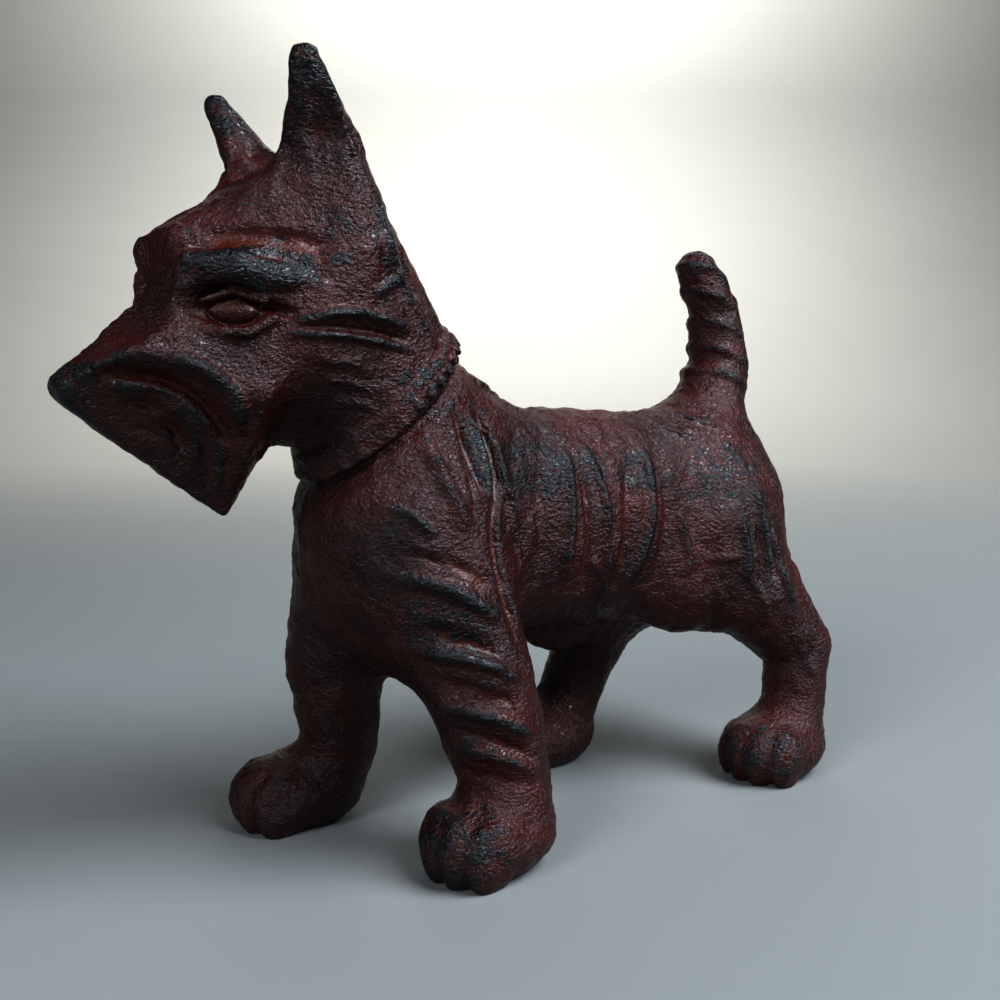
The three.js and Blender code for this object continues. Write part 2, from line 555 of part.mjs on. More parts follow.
// A queue that gives back its cheapest entry first
class Queue {
  entries = [];

  push(entry) {
    const { entries } = this;
    let i = entries.push(entry) - 1;
    while (i > 0) {
      const parent = (i - 1) >> 1;
      if (entries[parent].cost <= entry.cost) break;
      entries[i] = entries[parent];
      i = parent;
    }
    entries[i] = entry;
  }

  pop() {
    const { entries } = this;
    const first = entries[0];
    const last = entries.pop();
    const count = entries.length;
    let i = 0;
    while (count > 0) {
      let child = 2 * i + 1;
      if (child >= count) break;
      if (child + 1 < count && entries[child + 1].cost < entries[child].cost) child += 1;
      if (entries[child].cost >= last.cost) break;
      entries[i] = entries[child];
      i = child;
    }
    if (count > 0) entries[i] = last;
    return first;
  }
}

function simplify({ points, faces }, target) {
  const errors = points.map(() => new Array(10).fill(0));
  const facesOf = points.map(() => new Set());
  const version = points.map(() => 0);
  faces.forEach((face, f) => {
    const error = planeError(face.map((n) => points[n]));
    face.forEach((n) => {
      facesOf[n].add(f);
      error.forEach((value, i) => { errors[n][i] += value; });
    });
  });

  const queue = new Queue();
  const neighbours = (n) => {
    const found = new Set();
    facesOf[n].forEach((f) => faces[f].forEach((m) => found.add(m)));
    found.delete(n);
    return found;
  };
  const consider = (a, b) => {
    const error = errors[a].map((value, i) => value + errors[b][i]);
    const place = bestPoint(error, points[a], points[b]);
    const cost = errorAt(error, place);
    queue.push({ cost, a, b, place, age: version[a] + version[b] });
  };
  const keepsDirection = (n, other, place) => [...facesOf[n]].every((f) => {
    if (faces[f].includes(other)) return true;
    const [a, b, c] = faces[f].map((m) => points[m]);
    const [u, v, w] = faces[f].map((m) => (m === n ? place : points[m]));
    const before = cross(minus(b, a), minus(c, a));
    const after = cross(minus(v, u), minus(w, u));
    return dot(before, after) > MOST_TURN * size(before) * size(after);
  });

  points.forEach((_, a) => neighbours(a).forEach((b) => a < b && consider(a, b)));
  let left = faces.length;
  while (left > target && queue.entries.length) {
    const { a, b, place, age } = queue.pop();
    if (version[a] < 0 || version[b] < 0 || age !== version[a] + version[b]) continue;
    const around = neighbours(b);
    const shared = [...neighbours(a)].filter((n) => around.has(n));
    if (shared.length !== 2 || !keepsDirection(a, b, place) || !keepsDirection(b, a, place)) continue;
    points[a] = place;
    errors[b].forEach((value, i) => { errors[a][i] += value; });
    facesOf[b].forEach((f) => {
      if (faces[f].includes(a)) {
        faces[f].forEach((n) => facesOf[n].delete(f));
        faces[f] = null;
        left -= 1;
      } else {
        faces[f] = faces[f].map((n) => (n === b ? a : n));
        facesOf[a].add(f);
      }
    });
    version[b] = -1;
    version[a] += 1;
    neighbours(a).forEach((n) => consider(a, n));
  }
  return { points, faces: faces.filter((face) => face) };
}

// Solids
const wasm = await Module();
wasm.setup();

function solidOf({ points, faces }) {
  const used = [...new Set(faces.flat())];
  const index = new Map(used.map((n, i) => [n, i]));
  const vertProperties = Float32Array.from(used.flatMap((n) => points[n]));
  const triVerts = Uint32Array.from(faces.flat().map((n) => index.get(n)));
  return new wasm.Manifold(new wasm.Mesh({ numProp: 3, vertProperties, triVerts }));
}

// The ground is cut away from the paws, so that each sole is a flat face.
const GROUND_DEPTH = 20;
function solidFrom(shape) {
  shape.deleteAttribute("normal");
  shape.deleteAttribute("uv");
  const merged = mergeVertices(shape);
  return new wasm.Manifold(new wasm.Mesh({
    numProp: 3,
    vertProperties: Float32Array.from(merged.attributes.position.array),
    triVerts: Uint32Array.from(merged.index.array),
  }));
}
const ground = (reach) => solidFrom(
  new THREE.BoxGeometry(reach, reach, GROUND_DEPTH).translate(0, 0, -GROUND_DEPTH / 2),
);
function studSolid({ place, outward }) {
  const foot = STUD_DIAMETER / 2;
  const shape = new THREE.CylinderGeometry(foot * STUD_TOP, foot, 2 * STUD_PROUD, STUD_SIDES);
  const upright = new THREE.Vector3(0, 1, 0);
  shape.applyQuaternion(new THREE.Quaternion().setFromUnitVectors(upright, new THREE.Vector3(...outward)));
  return solidFrom(shape.translate(...toReal(place)));
}

const LEVEL = 0.2; // points this near the soles are laid on them, in parts
const onSole = ([x, y, z]) => [x, y, Math.abs(z - SOLES) < LEVEL ? SOLES : z];
const toReal = ([x, y, z]) => [x * PART, y * PART, (z - SOLES) * PART];

// Corners of the grid, clear of the figure all round
const firstCorner = [-31, -56, SOLES - 3.5];
const lastCorner = [31, 102, EAR_TOP + 3];
const skin = simplify(skinOf(dog, firstCorner, lastCorner, CELL), TRIANGLES);
skin.points = skin.points.map((point) => toReal(onSole(point)));
const casting = studs.reduce((solid, stud) => solid.add(studSolid(stud)), solidOf(skin))
  .subtract(ground(4 * HEIGHT)).getMesh();

const geometry = new THREE.BufferGeometry();
geometry.setAttribute("position", new THREE.BufferAttribute(new Float32Array(casting.vertProperties), 3));
geometry.setIndex(new THREE.BufferAttribute(new Uint32Array(casting.triVerts), 1));
geometry.computeBoundingBox();
const { min, max } = geometry.boundingBox;
geometry.translate(-(min.x + max.x) / 2, -(min.y + max.y) / 2, -min.z);
geometry.computeVertexNormals();

const iron = new THREE.MeshStandardMaterial({ color: 0x4a1c15, roughness: 0.45, metalness: 0.2 });
const terrier = new THREE.Mesh(geometry, iron);
terrier.name = "terrier_dog";

const figure = new THREE.Group();
figure.add(terrier);

export default figure;
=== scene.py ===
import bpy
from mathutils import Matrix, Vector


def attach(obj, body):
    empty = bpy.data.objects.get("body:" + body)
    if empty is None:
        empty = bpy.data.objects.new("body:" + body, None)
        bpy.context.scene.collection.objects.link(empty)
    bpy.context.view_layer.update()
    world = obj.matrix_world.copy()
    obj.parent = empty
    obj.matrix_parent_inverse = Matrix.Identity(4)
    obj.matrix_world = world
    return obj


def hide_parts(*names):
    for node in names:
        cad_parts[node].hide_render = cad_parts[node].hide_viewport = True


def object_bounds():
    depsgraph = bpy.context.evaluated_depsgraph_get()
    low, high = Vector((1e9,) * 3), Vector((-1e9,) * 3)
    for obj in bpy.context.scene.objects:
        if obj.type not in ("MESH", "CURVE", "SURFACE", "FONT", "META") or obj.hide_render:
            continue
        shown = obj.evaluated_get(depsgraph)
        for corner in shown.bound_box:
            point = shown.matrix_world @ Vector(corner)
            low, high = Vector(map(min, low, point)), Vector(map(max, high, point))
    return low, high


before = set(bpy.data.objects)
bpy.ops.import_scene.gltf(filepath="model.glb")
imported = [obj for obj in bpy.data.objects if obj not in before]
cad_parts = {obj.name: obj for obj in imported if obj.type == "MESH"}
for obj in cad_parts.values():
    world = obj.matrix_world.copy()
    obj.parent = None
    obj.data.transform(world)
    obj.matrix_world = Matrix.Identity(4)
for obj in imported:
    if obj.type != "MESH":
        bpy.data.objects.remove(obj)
cad_box = [list(corner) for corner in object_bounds()]

# A cast iron terrier figure in oxblood paint, with black left on its raised fur, on a pale studio floor.
# The figure is drawn in millimetres on a grid: x to the dog's left, y from nose to tail, z up.

import math

import bpy
import numpy as np
from mathutils import Vector

MM = 0.001

# Driving dimensions of the figure, in millimetres
COLLAR_WIDTH = 4.2  # breadth of the collar band
COLLAR_PROUD = 0.8  # how far the band stands out of the neck
STUD_DIAMETER = 1.9
STUD_WIRE = 0.42  # half the thickness of a stud's ring
STUD_PITCH = 3.0  # from one stud to the next, round the band
STUD_PROUD = 0.45  # how far a stud stands out of the band
FUR_DEPTH = 0.9  # height of the deepest carved locks over their grooves
SOLE_SINK = 1.9  # how much of each rounded paw is cut away to make a flat sole
SOLES = -2.2  # level of the soles on the grid
EAR_TOP = 118.8  # level of the tips of the ears

# Fineness of the mesh
CELL = 0.42
MOST_TRIANGLES = 196000
FIRST_HALVINGS = 3  # how often the first, coarse cells are halved
CELL_REACH = 1.25  # how near the skin a cell is kept, in cells
MARGIN = 0.6  # and this much more, in millimetres
FAR = 50.0  # the distance given for points far from a form
PAD = 9.0  # how far round a form its true distance is worked out
TINY = 1e-9


# Arithmetic on rows of points

def length(rows):
    return np.sqrt(np.einsum("ij,ij->i", rows, rows))


def unit(vector):
    vector = np.asarray(vector, float)
    return vector / np.linalg.norm(vector)


def rise(low, high, value):
    t = np.clip((value - low) / (high - low), 0, 1)
    return t * t * (3 - 2 * t)


def mirrored(points):
    return np.abs(points * [1, 0, 0]) + points * [0, 1, 1]


# A form is a function that gives the distance of each point from its skin, negative inside

def boxed(form, corners, reach):
    """The form, worked out only near the box around its corners; further away its distance is FAR."""
    low = np.min(corners, 0) - np.max(reach) - PAD
    high = np.max(corners, 0) + np.max(reach) + PAD

    def inner(points):
        inside = ((points > low) & (points < high)).all(1)
        if inside.all():
            return form(points)
        result = np.full(len(points), FAR)
        if inside.any():
            result[inside] = form(points[inside])
        return result
    return inner


def ellipsoid(centre, radii):
    centre = np.array(centre, float)
    radii = np.array(radii, float)

    def form(points):
        scaled = (points - centre) / radii
        near = length(scaled)
        return near * (near - 1) / (length(scaled / radii) + TINY)
    return boxed(form, [centre - radii, centre + radii], 0)


def limb(start, start_radius, end, end_radius, flat=1.0):
    """A limb of round section that tapers from one joint to the next; flat narrows it across the body."""
    widen = np.array([1 / flat, 1, 1])
    ends = [start, end]
    start = start * widen
    along = end * widen - start

    def form(points):
        away = points * widen - start
        t = np.clip(away @ along / (along @ along), 0, 1)
        radius = start_radius + (end_radius - start_radius) * t
        return (length(away - t[:, None] * along) - radius) * min(flat, 1)
    return boxed(form, ends, max(start_radius, end_radius))


def chain(joints, flat=1.0):
    """Limbs from joint to joint, each joint a point and a radius."""
    links = [limb(a, r, b, s, flat) for (a, r), (b, s) in zip(joints, joints[1:])]
    return lambda points: np.minimum.reduce([link(points) for link in links])


def plate(a, b, c, thickness):
    """A plate around a triangle, with rounded rims."""
    corners = [np.array(corner, float) for corner in (a, b, c)]
    edges = [(corners[i], corners[(i + 1) % 3] - corners[i]) for i in range(3)]
    normal = unit(np.cross(edges[0][1], -edges[2][1]))

    def form(points):
        inside = np.ones(len(points), bool)
        gaps = []
        for corner, along in edges:
            away = points - corner
            inside &= away @ np.cross(normal, along) >= 0
            t = np.clip(away @ along / (along @ along), 0, 1)
            gaps.append(length(away - t[:, None] * along))
        flat = np.abs((points - corners[0]) @ normal)
        return np.where(inside, flat, np.minimum.reduce(gaps)) - thickness / 2
    return boxed(form, corners, thickness)


def turned(form, centre, angle):
    """The form swung about an upright line through centre."""
    centre = np.array(centre, float)
    c, s = math.cos(angle), math.sin(angle)
    swing = np.array([[c, -s, 0], [s, c, 0], [0, 0, 1]])
    return lambda points: form((points - centre) @ swing + centre)


def wedge(heart, sides, rounding):
    """A block with flat sides, each given by three points on it; heart is a point inside."""
    planes = []
    for a, b, c in sides:
        normal = unit(np.cross(np.subtract(b, a), np.subtract(c, a)))
        outward = normal if normal @ np.subtract(heart, a) < 0 else -normal
        planes.append((outward, outward @ np.array(a, float)))

    def form(points):
        far = np.full(len(points), -2 * FAR)
        for outward, level in planes:
            far = meet(far, points @ outward - level, rounding)
        return far
    return boxed(form, [corner for side in sides for corner in side], 0)


def blend(a, b, soft):
    """The nearer of two distances, with a soft join."""
    t = np.maximum(soft - np.abs(a - b), 0) / soft
    return np.minimum(a, b) - t * t * soft / 4


def meet(a, b, soft):
    return -blend(-a, -b, soft)


def hollow(a, b, soft):
    return meet(a, -b, soft)


def joined(start, parts, points):
    for form, soft in parts:
        start = blend(start, form(points), soft)
    return start


def common(*forms):
    return lambda points: np.maximum.reduce([form(points) for form in forms])


def either(*forms):
    return lambda points: np.minimum.reduce([form(points) for form in forms])


# Head
SIDESTEP = 3
RIM = 0.9  # rounding of the rims of the muzzle and the forehead
SOCKET_SOFT = 1.6


def besides(point):
    """Another point on a side that runs straight across."""
    return [point[0] + SIDESTEP, point[1], point[2]]


NOSE = [0, -51.3, 74.6]
NOSE_FOOT = [0, -50.4, 71]
BEARD_TIP = [0, -27.4, 53.8]
CHEEK_CORNER = [11.4, -29.5, 72]
STOP = [0, -39.6, 84.6]
THROAT = [0, -20, 65]
BROW = [0, -36.2, 95.2]
CROWN = [0, -20, 105]
BROW_FOOT = [0, -37.1, 86]

# Each eye is an almond: what two balls share, one over the other
EYE = [10.2, -29.6, 83.5]
EYE_TURN = -0.4  # about an upright line, in radians
EYE_RADII = [1.5, 4.0, 2.9]
EYE_GAP = 1.1  # from the middle of the eye to the middle of either ball

# Ears: their levels are shares of the way from their feet to their tips
EAR_FOOT = 94
EAR_THICKNESS = 4


def ear_level(share):
    return EAR_FOOT + (EAR_TOP - EAR_FOOT) * share


EAR_TIP = [15.2, -21, EAR_TOP - EAR_THICKNESS / 2]
EAR_FRONT = [9.4, -19.3, ear_level(0.49)]
EAR_BACK = [12, -13.2, ear_level(0.56)]
EAR_HEEL = [12.2, -9.8, ear_level(0.2)]
FLARE_FOOT = [7.6, -27, ear_level(0.06)]
FLARE_BACK = [12.6, -12, ear_level(0.08)]


def make_head():
    skull = ellipsoid([0, -16, 87], [14, 16, 15.5])
    face = limb([0, -19, 81], 14.2, [0, -32, 77], 9.2)
    muzzle = wedge([0, -34, 72], [
        [[1.6, -50.2, 70.8], [0.8, -27.4, 54.2], CHEEK_CORNER],
        [NOSE_FOOT, BEARD_TIP, besides(BEARD_TIP)],
        [NOSE, NOSE_FOOT, besides(NOSE)],
        [NOSE, STOP, [6, -39.6, 82.4]],
        [BEARD_TIP, THROAT, [10, -25.5, 68]],
        [[13, -30, 70], [13, -26, 72], [10, -30, 84]],
        [[0, -20, 60], [0, -20, 90], besides([0, -20, 60])],
    ], RIM)
    forehead = wedge([0, -26, 90], [
        [BROW, CROWN, besides(CROWN)],
        [BROW_FOOT, BROW, besides(BROW)],
        [[5.6, -36.6, 94], [13, -30, 88], [9, -20, 105]],
        [[13.4, -30, 84], [13.4, -14, 84], [12, -20, 96]],
        [[0, -14, 80], besides([0, -14, 80]), [0, -14, 110]],
        [[0, -30, 84], besides([0, -30, 84]), [0, -20, 84]],
    ], RIM)
    brow_ridge = chain([
        ([4.6, -36.6, 83], 1), ([5.2, -36.2, 87], 1.5), ([8.4, -34.6, 89.6], 2.1),
        ([11.8, -29.6, 89.4], 2.5), ([13, -23, 88], 2.2), ([13.4, -16.5, 86.6], 0.8),
    ])
    brow_knob = ellipsoid([6, -35.2, 92.4], [2.6, 2.4, 2.8])
    socket = ellipsoid([11.8, -33, 84.2], [3.4, 6.6, 3])
    balls = [ellipsoid([EYE[0], EYE[1], EYE[2] + gap], EYE_RADII) for gap in (EYE_GAP, -EYE_GAP)]
    eye = turned(common(*balls), EYE, EYE_TURN)
    lower_lid = chain([
        ([8, -35.4, 82], 0.8), ([10.4, -32.2, 80.7], 1), ([12, -28.4, 80.6], 1), ([12.8, -25, 82.6], 0.8),
    ])
    upper_lid = chain([([9, -33.6, 84.8], 0.6), ([10.9, -30, 86.2], 0.8), ([12.6, -25.6, 84.6], 0.6)])
    brows = either(brow_ridge, brow_knob)
    ear = either(
        plate(EAR_TIP, EAR_FRONT, EAR_BACK, EAR_THICKNESS),
        plate(EAR_BACK, EAR_FRONT, EAR_HEEL, EAR_THICKNESS + 0.4),
        plate(EAR_FRONT, FLARE_FOOT, FLARE_BACK, EAR_THICKNESS - 0.6),
    )
    ear_root = limb([11, -15.2, ear_level(0.44)], 3.4, [8.6, -12, EAR_FOOT], 7.8)

    # Each form with how softly it runs into the ones before it
    plain = [(face, 5), (muzzle, 2.5), (forehead, 2), (ear_root, 4), (ear, 2.5)]
    carved = [(brows, 1), (eye, 0.4), (lower_lid, 1), (upper_lid, 0.5)]

    def form(points):
        q = mirrored(points)
        skin = joined(skull(q), plain, q)
        return joined(hollow(skin, socket(q), SOCKET_SOFT), carved, q)
    return form


# Body and legs
PAW_LENGTH = 23.6
PAW_WIDTH = 18
PAW_HEIGHT = 14.6
TURNOUT = 0.12  # how far the paws turn outwards, in radians
TOES = 4
TOE_SPREAD = 0.31  # from the middle of the paw to an outer toe, as a share of its width
TOE_REACH = 0.34  # from the middle of the paw to a middle toe, as a share of its length
TOE_CURVE = 0.1  # how far the outer toes stay behind, as a share of its length
TOE_DROP = 1  # how far the toes lie under the middle of the paw
TOE_RADII = [0.15 * PAW_WIDTH, 0.24 * PAW_WIDTH, 0.4 * PAW_HEIGHT]
TOE_SOFT = 2
ANKLE_SOFT = 4
SHOULDER_SOFT = 7
HIP_SOFT = 6

# Each leg: its side, x and y of the middle of its paw, how softly it runs into the body, and its joints
LEGS = {
    "fore_left": (1, 17.8, 8, SHOULDER_SOFT, [
        ([6, 1.6, 51], 13), ([14.2, 7.6, 28], 9.4), ([17, 11.6, 11], 7.4)]),
    "fore_right": (-1, 17.8, -7.6, SHOULDER_SOFT, [
        ([6, 1.4, 50], 13), ([12.6, -3, 28], 8.8), ([14.8, -1.2, 11], 6.8)]),
    "hind_left": (1, 18, 78, HIP_SOFT, [
        ([5, 72, 45], 15), ([12, 76, 34], 10), ([17.6, 84.4, 22], 6.9), ([18.2, 82.8, 10], 5.8)]),
    "hind_right": (-1, 15.2, 45, HIP_SOFT, [
        ([6, 62, 44], 14), ([10.6, 59, 32], 9.6), ([13.6, 57, 22], 7.4), ([14.8, 52, 10], 6.4)]),
}


def make_paw(side, x, y):
    lift = SOLES + PAW_HEIGHT / 2 - SOLE_SINK
    pad = ellipsoid([0, 0, lift], [PAW_WIDTH / 2, PAW_LENGTH / 2, PAW_HEIGHT / 2])
    toes = []
    for i in range(TOES):
        spread = 2 * i / (TOES - 1) - 1
        reach = PAW_LENGTH * (TOE_REACH - TOE_CURVE * spread * spread)
        centre = [spread * PAW_WIDTH * TOE_SPREAD, -reach, lift - TOE_DROP]
        toes.append(ellipsoid(centre, TOE_RADII))
    c, s = math.cos(TURNOUT), math.sin(TURNOUT)

    def form(points):
        u = side * points[:, 0] - x
        v = points[:, 1] - y
        q = np.stack([u * c + v * s, v * c - u * s, points[:, 2]], 1)
        return blend(pad(q), either(*toes)(q), TOE_SOFT)
    return form


def make_leg(side, x, y, joints):
    shank = chain([([side * a, b, c], radius) for (a, b, c), radius in joints])
    foot = make_paw(side, x, y)
    return lambda points: blend(shank(points), foot(points), ANKLE_SOFT)


def make_body():
    trunk = chain([([0, 6, 52], 18.6), ([0, 34, 50], 20), ([0, 67.6, 48], 20.4)], 0.7)
    chest = ellipsoid([0, 3.8, 44], [15, 13.2, 18.6])
    withers = ellipsoid([0, 12, 62], [9, 13, 11])
    rump = ellipsoid([0, 71.4, 51.4], [15.4, 18.2, 18.3])
    left_flank, right_flank = (ellipsoid([side * 7.5, 63, 38], [8, 13, 12]) for side in (1, -1))
    groin = ellipsoid([-8, 44, 32], [6, 12, 10])
    neck = limb([0, -12, 88], 15.2, [0, 4.3, 62], 14.2, 0.96)
    gullet = ellipsoid([0, -16.4, 68], [4.4, 4.6, 3.8])
    tail = chain([([0, 74.8, 66], 8), ([0, 79.2, 78], 6.2), ([0, 77.6, 89], 5.1), ([0, 72.4, 96.4], 4.2)])

    # Each form with how softly it runs into the ones before it
    parts = [
        (chest, 6), (withers, 6), (rump, 6), (left_flank, 5), (right_flank, 5),
        (groin, 5), (neck, 7), (gullet, 3), (tail, 5),
    ]
    for side, x, y, soft, joints in LEGS.values():
        parts.append((make_leg(side, x, y, joints), soft))
    return lambda points: joined(trunk(points), parts, points)


# Collar: a band round the neck, square to the line from its throat to its nape
COLLAR_THROAT = np.array([0, -13.4, 62])
COLLAR_NAPE = np.array([0, 9.8, 82.5])
COLLAR_MIDDLE = (COLLAR_THROAT + COLLAR_NAPE) / 2
COLLAR_FORWARD = unit(COLLAR_THROAT - COLLAR_NAPE)
COLLAR_AXIS = np.cross([1, 0, 0], COLLAR_FORWARD)
COLLAR_REACH = 21  # nothing further than this from its middle belongs to the collar
REACH_FADE = 1.5
COLLAR_RIM = 0.6  # half the slope at each rim of the band
SEAM_DROP = 1.0  # from the lower rim down to the groove under it
SEAM_BREADTH = 1.9  # half the breadth of that groove
SEAM_DEPTH = 1.1  # of the groove, as a share of how far the band stands out
NECK_RADIUS = 16  # inside the band, about
STUDDED = 0.56  # share of the band, about the nape, on which the studs aren't worn away
STUD_DROP = 0.5  # from the middle of the band down to the middles of the studs
STUD_WEAR = 0.35  # how much lower the studs nearest the throat are
WEAR_LIMITS = (-0.2, 0.9)  # how far forward a stud faces where the wear starts and where it is full
STUD_SOFT = 0.2
NECK_SOFT = 3
HALVINGS = 30  # of the stretch in which the skin under a stud is looked for


def collar(points):
    q = points - COLLAR_MIDDLE
    height = q @ COLLAR_AXIS
    out = np.hypot(q[:, 0], q @ COLLAR_FORWARD)
    half = COLLAR_WIDTH / 2
    reach = rise(COLLAR_REACH + REACH_FADE, COLLAR_REACH - REACH_FADE, out)
    band = rise(half + COLLAR_RIM, half - COLLAR_RIM, np.abs(height))
    groove = rise(SEAM_BREADTH, 0, np.abs(height - half - SEAM_DROP))
    return reach * COLLAR_PROUD * (SEAM_DEPTH * groove - band)


# Carving: strokes drawn in the side view, each a curve from one point past a bend to another.
# A stroke raises the skin along its line, or sinks it where its height is negative.
FACETS = 10  # straight pieces in a stroke's curve


class Stroke:
    def __init__(self, start, bend, end, width, height):
        start, bend, end = (np.array(point, float) for point in (start, bend, end))
        t = np.linspace(0, 1, FACETS + 1)[:, None]
        self.curve = (1 - t) ** 2 * start + 2 * t * (1 - t) * bend + t * t * end
        self.low = self.curve.min(0) - width
        self.high = self.curve.max(0) + width
        self.width = float(width)
        self.height = height

    def lift(self, flat):
        """How far the stroke lifts the skin at each point of the side view."""
        result = np.zeros(len(flat))
        near = np.flatnonzero(((flat > self.low) & (flat < self.high)).all(1))
        if not len(near):
            return result
        best = np.full(len(near), self.width)
        place = np.zeros(len(near))
        for i in range(FACETS):
            along = self.curve[i + 1] - self.curve[i]
            away = flat[near] - self.curve[i]
            t = np.clip(away @ along / (along @ along), 0, 1)
            gap = length(away - t[:, None] * along)
            closer = gap < best
            best = np.where(closer, gap, best)
            place = np.where(closer, (i + t) / FACETS, place)
        profile = (1 - (best / self.width) ** 2) ** 2
        result[near] = self.height * profile * (1 - (2 * place - 1) ** 4)
        return result


def between(first, last, count, width, height):
    """A row of strokes between a first and a last one."""
    first, last = np.array(first, float), np.array(last, float)
    shares = np.linspace(0, 1, count)
    return [Stroke(*(first + (last - first) * share), width, height) for share in shares]


# The locks of the moustache are long arcs that sweep back from the nose and turn down into the beard.
LOCKS = [
    Stroke([-48.6, 74.4], [-43, 80.4], [-34.4, 75.4], 1.8, 0.7),
    Stroke([-39, 77], [-31, 76], [-28, 66.4], 2.0, 1.5),
    Stroke([-47.6, 75.2], [-36.4, 76.4], [-30, 66], 1.5, -1.1),
    Stroke([-46.4, 73.2], [-35, 75.6], [-29.6, 62.4], 1.7, 1.2),
    Stroke([-42.4, 71.8], [-34.4, 73.6], [-31.4, 62], 1.3, -0.9),
    Stroke([-39.6, 71.6], [-34, 70.6], [-32.8, 63], 1.6, 1.2),
    Stroke([-38.4, 69.4], [-35.6, 68], [-34.6, 62], 1.3, -0.8),
    Stroke([-30.6, 66], [-29.8, 61], [-29.6, 57.6], 1.1, 0.5),
    *between([[-43.6, 71.2], [-40.6, 71.3], [-37.6, 70.2]], [[-41.4, 67.8], [-39.6, 67.6], [-37.2, 66.4]],
             2, 0.8, -0.5),
    *between([[-43.4, 72.2], [-40.6, 72.2], [-38, 71.2]], [[-37, 65.2], [-35, 64.8], [-33.2, 62.8]],
             4, 0.8, 0.35),
    *between([[-48.7, 69.4], [-47.8, 69], [-46.9, 68.2]], [[-31.4, 57.6], [-30.5, 57], [-29.6, 56.2]],
             8, 1.0, 0.6),
]
FACE_CARVING = [
    *LOCKS,
    Stroke([-22.6, 81.8], [-15, 85.8], [-3, 81.4], 1.2, 1.3),
    Stroke([-24, 80.6], [-15, 81.2], [-3, 78.6], 1.0, 1.1),
    Stroke([-22, 80.6], [-14, 82.8], [-4, 79.8], 0.9, -0.7),
    *between([[-19.4, 77], [-15, 77.4], [-10, 75.4]], [[-15, 71.6], [-12, 71.4], [-8, 69.6]], 3, 1.1, 0.4),
    Stroke([-26, 84.6], [-24, 83.8], [-22, 83], 1.2, -1.1),
    Stroke([-34.4, 92.4], [-26, 94.6], [-16.4, 92], 2.0, -0.8),
    Stroke([-11, 86.4], [-8, 87.4], [-4, 90.4], 1.3, 0.7),
    Stroke([-9.6, 99], [-7, 90], [1.6, 79.4], 1.5, 0.8),
    Stroke([-6.4, 96], [-3, 88], [4, 79.4], 1.4, -0.6),
    Stroke([-19.6, 117], [-15, 111], [-10.4, 99], 1.0, 0.45),
    Stroke([-20.6, 115], [-21.6, 106], [-24.4, 98.4], 0.9, 0.4),
    Stroke([-18.8, 113], [-16.6, 106], [-15.6, 98], 2.4, -0.6),
    *between([[-20, 108], [-19, 104], [-19.6, 99.6]], [[-15.2, 107], [-13.4, 103], [-13, 98]], 3, 1.3, 0.22),
]
TRUNK_CARVING = [
    Stroke([8.4, 70.4], [13.4, 63], [8.8, 53], 1.9, -1.2),
    Stroke([9, 56.6], [6.2, 46], [11.4, 32], 1.8, -1.2),
    Stroke([11.4, 66], [15.6, 58], [13.4, 48], 1.9, 0.6),
    Stroke([4, 70.2], [5.8, 64], [6.6, 57], 1.2, -0.8),
    Stroke([7, 70], [10.8, 64], [7.6, 56], 1.9, 0.8),
    Stroke([-2, 66.6], [-0.2, 60], [2.4, 52], 1.8, 1.0),
    Stroke([4.8, 66], [5, 58], [4, 52], 1.3, -0.5),
    Stroke([12.6, 60.4], [15.6, 53], [16.8, 43], 1.1, 0.7),
    Stroke([29, 63.4], [28, 54], [27.4, 39], 1.4, 0.9),
    Stroke([33.2, 63], [36.6, 55], [35.8, 45], 1.4, 0.9),
    Stroke([36, 47], [37.6, 39], [38.4, 32.6], 1.3, 0.8),
    Stroke([46.8, 62.6], [48.4, 52], [43, 37.6], 1.7, 1.1),
    Stroke([53.6, 51], [55.4, 46], [55.6, 39], 1.2, 0.8),
    Stroke([31.2, 60], [32.2, 50], [31.8, 37], 1.6, -0.8),
    Stroke([41.4, 60], [41.4, 50], [40, 36], 2.2, -0.8),
    Stroke([22.4, 60], [21.6, 50], [22, 40], 2.8, -0.6),
    Stroke([50.6, 58], [51, 48], [48.4, 38], 1.8, -0.6),
    *between([[18.6, 52], [20, 50], [20.6, 47]], [[33, 44], [34, 42.6], [34.4, 40.6]], 3, 1.5, 0.5),
    *between([[30, 70], [34, 69], [35, 64.6]], [[39, 70.6], [42.6, 68], [42.8, 63]], 3, 1.2, 0.25),
    *between([[60, 68.8], [64, 67.8], [69, 65.8]], [[53, 67.6], [57, 66], [61.6, 63.4]], 2, 1.0, 0.55),
    *between([[14, 74.6], [18, 73.6], [21, 72]], [[10, 76.6], [14, 75], [18, 72.6]], 2, 0.9, 0.35),
]
FORE_CARVING = [
    Stroke([-12.4, 46.2], [-2, 45.6], [7, 38.2], 1.9, 1.3),
    Stroke([-8, 49], [0, 48.6], [6.4, 42.6], 2.0, -0.7),
    Stroke([-7, 38], [0, 37], [6, 32.6], 2.2, -0.9),
    Stroke([-9, 33], [1, 35.4], [10, 28.6], 1.8, 1.2),
    Stroke([-4, 29.6], [2, 28.8], [9, 24.4], 2.0, -0.8),
    Stroke([-3, 25], [4, 25.2], [12, 19.4], 1.7, 1.1),
    Stroke([0, 21.4], [6, 20.6], [12.4, 15.4], 1.5, -0.7),
    Stroke([0.6, 18.2], [6, 18.2], [13, 13.4], 1.5, 0.7),
    Stroke([1.6, 14.4], [6, 14.6], [12, 11.6], 1.4, -0.4),
    Stroke([-10.6, 58], [-7, 56], [-2.4, 51.4], 1.2, 1.0),
    Stroke([-11.6, 55.4], [-10.4, 54], [-9.4, 52.4], 0.9, 0.6),
    *between([[-11, 52], [-6, 51], [-1, 47.6]], [[4, 50], [6, 47], [7.4, 43]], 2, 1.3, 0.4),
]
